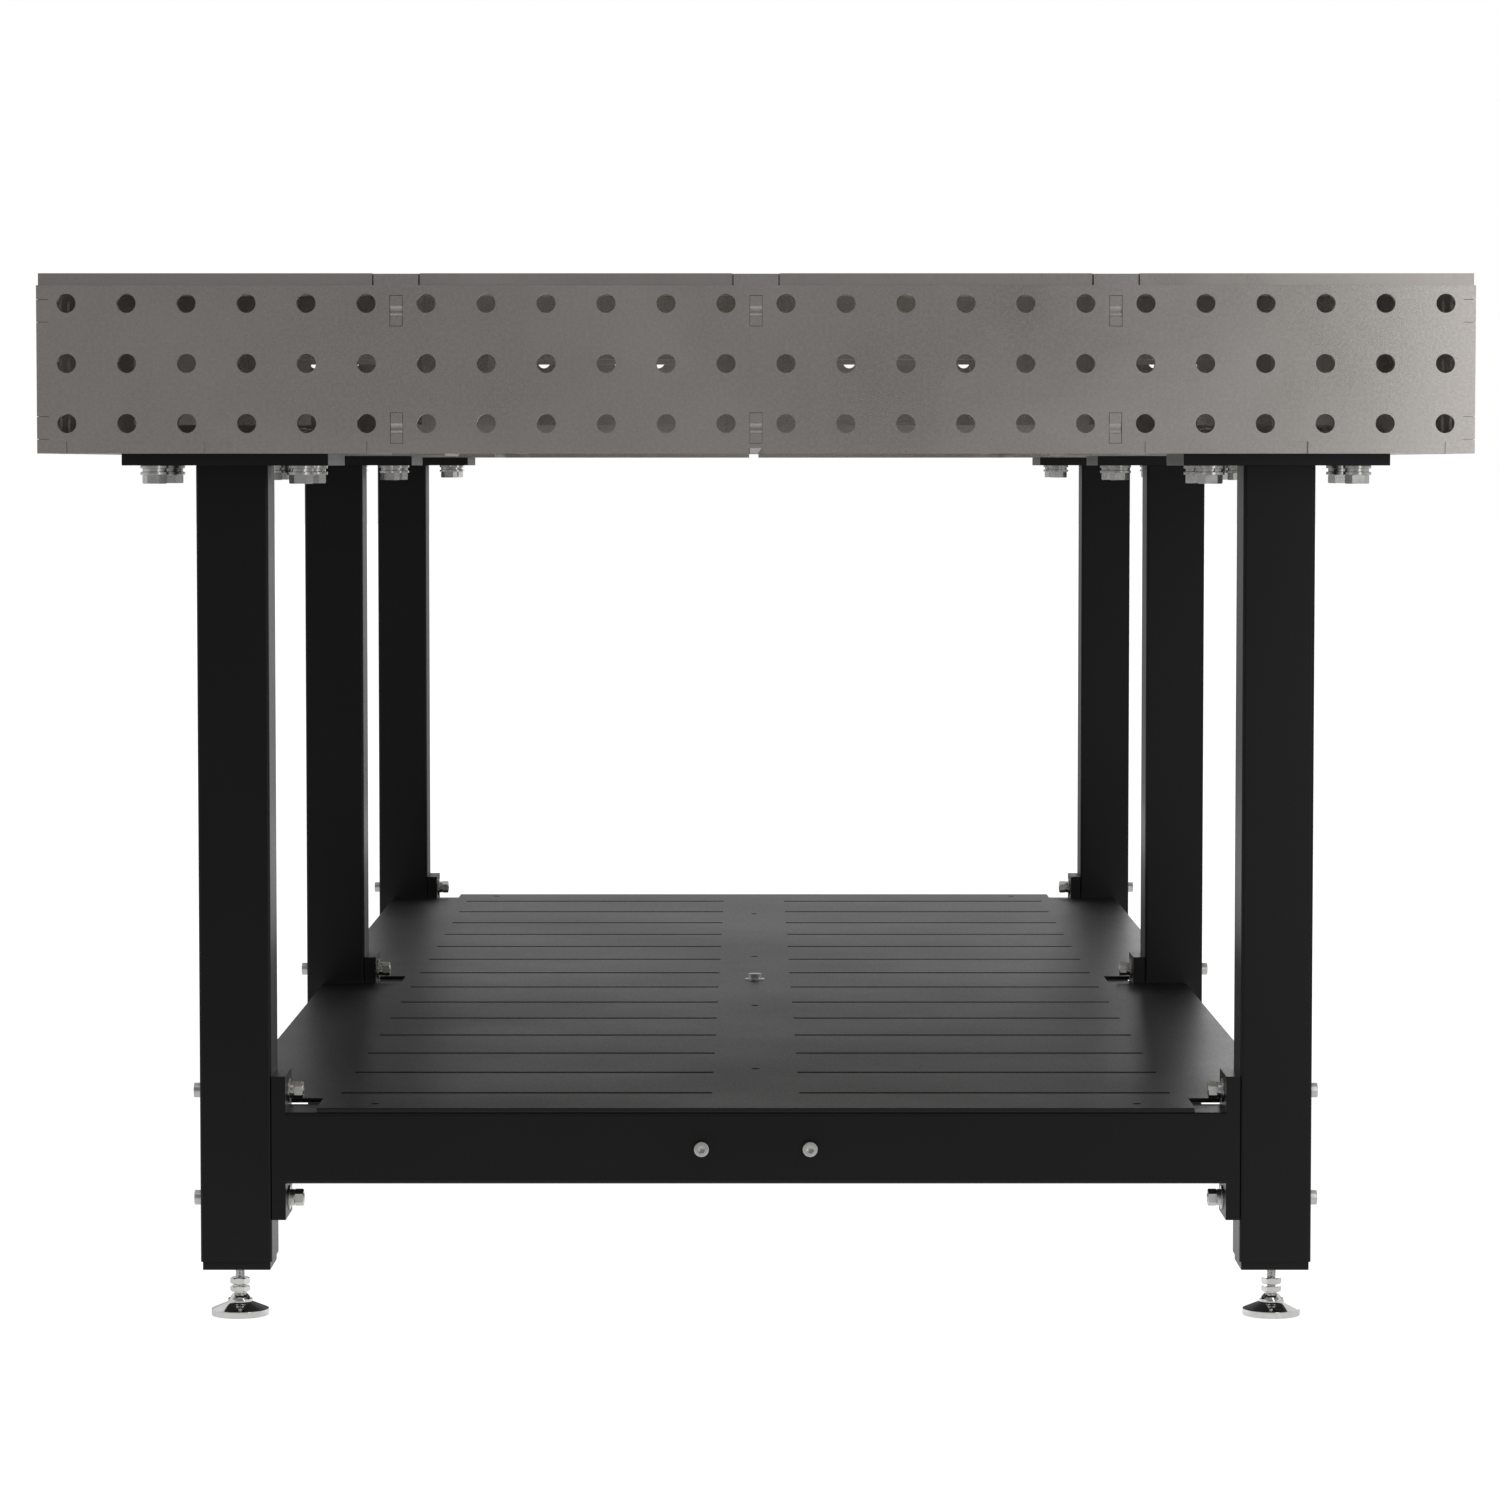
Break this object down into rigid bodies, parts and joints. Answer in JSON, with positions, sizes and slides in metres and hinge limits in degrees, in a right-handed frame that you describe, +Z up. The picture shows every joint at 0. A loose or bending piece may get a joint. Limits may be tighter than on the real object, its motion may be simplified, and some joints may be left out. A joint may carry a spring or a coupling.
{
  "type": "welding table",
  "caption": "Perforated steel welding table on black square legs, with a grid of clamping holes, a lower sheet shelf on cross and long beams, and screw-height ball-jointed levelling feet.",
  "frame": {"origin": "on the floor under the centre of the table", "axes": "+X across the width, +Y along the length, +Z up"},
  "size_m": [1.2, 2.4, 0.9],
  "materials": {
    "top_steel": "ground steel",
    "frame_steel": "mill finish steel plate",
    "black_coating": "satin black powder coat",
    "shelf_sheet": "dark grey sheet, satin",
    "zinc_fasteners": "bright zinc plate",
    "foot_chrome": "bright plated"
  },
  "bodies": {
    "root": {"beam_bolts": "zinc_fasteners", "beam_nuts": "zinc_fasteners", "beam_spring_washers": "zinc_fasteners", "center_long_rib": "frame_steel", "cross_beam_flanges": "black_coating", "cross_rib_1": "frame_steel", "cross_rib_2": "frame_steel", "cross_rib_3": "frame_steel", "cross_rib_4": "frame_steel", "cross_rib_5": "frame_steel", "cross_rib_6": "frame_steel", "cross_rib_7": "frame_steel", "end_leg_mount_plates": "frame_steel", "front_cross_beam": "black_coating", "front_end_plate": "frame_steel", "front_long_beam": "black_coating", "left_long_rib": "frame_steel", "left_side_plate": "frame_steel", "leg_bolt_spring_washers": "zinc_fasteners", "leg_bolt_washers": "zinc_fasteners", "leg_bolts": "zinc_fasteners", "leg_caps": "black_coating", "leg_front_left": "black_coating", "leg_front_right": "black_coating", "leg_middle_left": "black_coating", "leg_middle_right": "black_coating", "leg_rear_left": "black_coating", "leg_rear_right": "black_coating", "leg_top_plates": "black_coating", "long_beam_flanges": "black_coating", "m8_washers": "zinc_fasteners", "middle_cross_beam": "black_coating", "middle_leg_mount_plates": "frame_steel", "rear_cross_beam": "black_coating", "rear_end_plate": "frame_steel", "rear_long_beam": "black_coating", "right_long_rib": "frame_steel", "right_side_plate": "frame_steel", "shelf": "shelf_sheet", "shelf_screw": "zinc_fasteners", "top_plate": "top_steel"},
    "screw_front_left": {"foot_screw_front_left": "foot_chrome", "foot_nut_front_left": "foot_chrome"},
    "pad_front_left": {"foot_pad_front_left": "foot_chrome"},
    "screw_front_right": {"foot_screw_front_right": "foot_chrome", "foot_nut_front_right": "foot_chrome"},
    "pad_front_right": {"foot_pad_front_right": "foot_chrome"},
    "screw_middle_left": {"foot_screw_middle_left": "foot_chrome", "foot_nut_middle_left": "foot_chrome"},
    "pad_middle_left": {"foot_pad_middle_left": "foot_chrome"},
    "screw_middle_right": {"foot_screw_middle_right": "foot_chrome", "foot_nut_middle_right": "foot_chrome"},
    "pad_middle_right": {"foot_pad_middle_right": "foot_chrome"},
    "screw_rear_left": {"foot_screw_rear_left": "foot_chrome", "foot_nut_rear_left": "foot_chrome"},
    "pad_rear_left": {"foot_pad_rear_left": "foot_chrome"},
    "screw_rear_right": {"foot_screw_rear_right": "foot_chrome", "foot_nut_rear_right": "foot_chrome"},
    "pad_rear_right": {"foot_pad_rear_right": "foot_chrome"}
  },
  "joints": [
    {"name": "height_front_left", "type": "slide", "parent": "root", "child": "screw_front_left", "axis": [0, 0, -1], "range_m": [-0.009, 0.025]},
    {"name": "tilt_front_left", "type": "hinge", "parent": "screw_front_left", "child": "pad_front_left", "pos_m": [-0.45, -1.05, 0.011], "axis": [1, 0, 0], "range_deg": [-12, 12]},
    {"name": "height_front_right", "type": "slide", "parent": "root", "child": "screw_front_right", "axis": [0, 0, -1], "range_m": [-0.009, 0.025]},
    {"name": "tilt_front_right", "type": "hinge", "parent": "screw_front_right", "child": "pad_front_right", "pos_m": [0.45, -1.05, 0.011], "axis": [1, 0, 0], "range_deg": [-12, 12]},
    {"name": "height_middle_left", "type": "slide", "parent": "root", "child": "screw_middle_left", "axis": [0, 0, -1], "range_m": [-0.009, 0.025]},
    {"name": "tilt_middle_left", "type": "hinge", "parent": "screw_middle_left", "child": "pad_middle_left", "pos_m": [-0.45, 0, 0.011], "axis": [1, 0, 0], "range_deg": [-12, 12]},
    {"name": "height_middle_right", "type": "slide", "parent": "root", "child": "screw_middle_right", "axis": [0, 0, -1], "range_m": [-0.009, 0.025]},
    {"name": "tilt_middle_right", "type": "hinge", "parent": "screw_middle_right", "child": "pad_middle_right", "pos_m": [0.45, 0, 0.011], "axis": [1, 0, 0], "range_deg": [-12, 12]},
    {"name": "height_rear_left", "type": "slide", "parent": "root", "child": "screw_rear_left", "axis": [0, 0, -1], "range_m": [-0.009, 0.025]},
    {"name": "tilt_rear_left", "type": "hinge", "parent": "screw_rear_left", "child": "pad_rear_left", "pos_m": [-0.45, 1.05, 0.011], "axis": [1, 0, 0], "range_deg": [-12, 12]},
    {"name": "height_rear_right", "type": "slide", "parent": "root", "child": "screw_rear_right", "axis": [0, 0, -1], "range_m": [-0.009, 0.025]},
    {"name": "tilt_rear_right", "type": "hinge", "parent": "screw_rear_right", "child": "pad_rear_right", "pos_m": [0.45, 1.05, 0.011], "axis": [1, 0, 0], "range_deg": [-12, 12]}
  ]
}
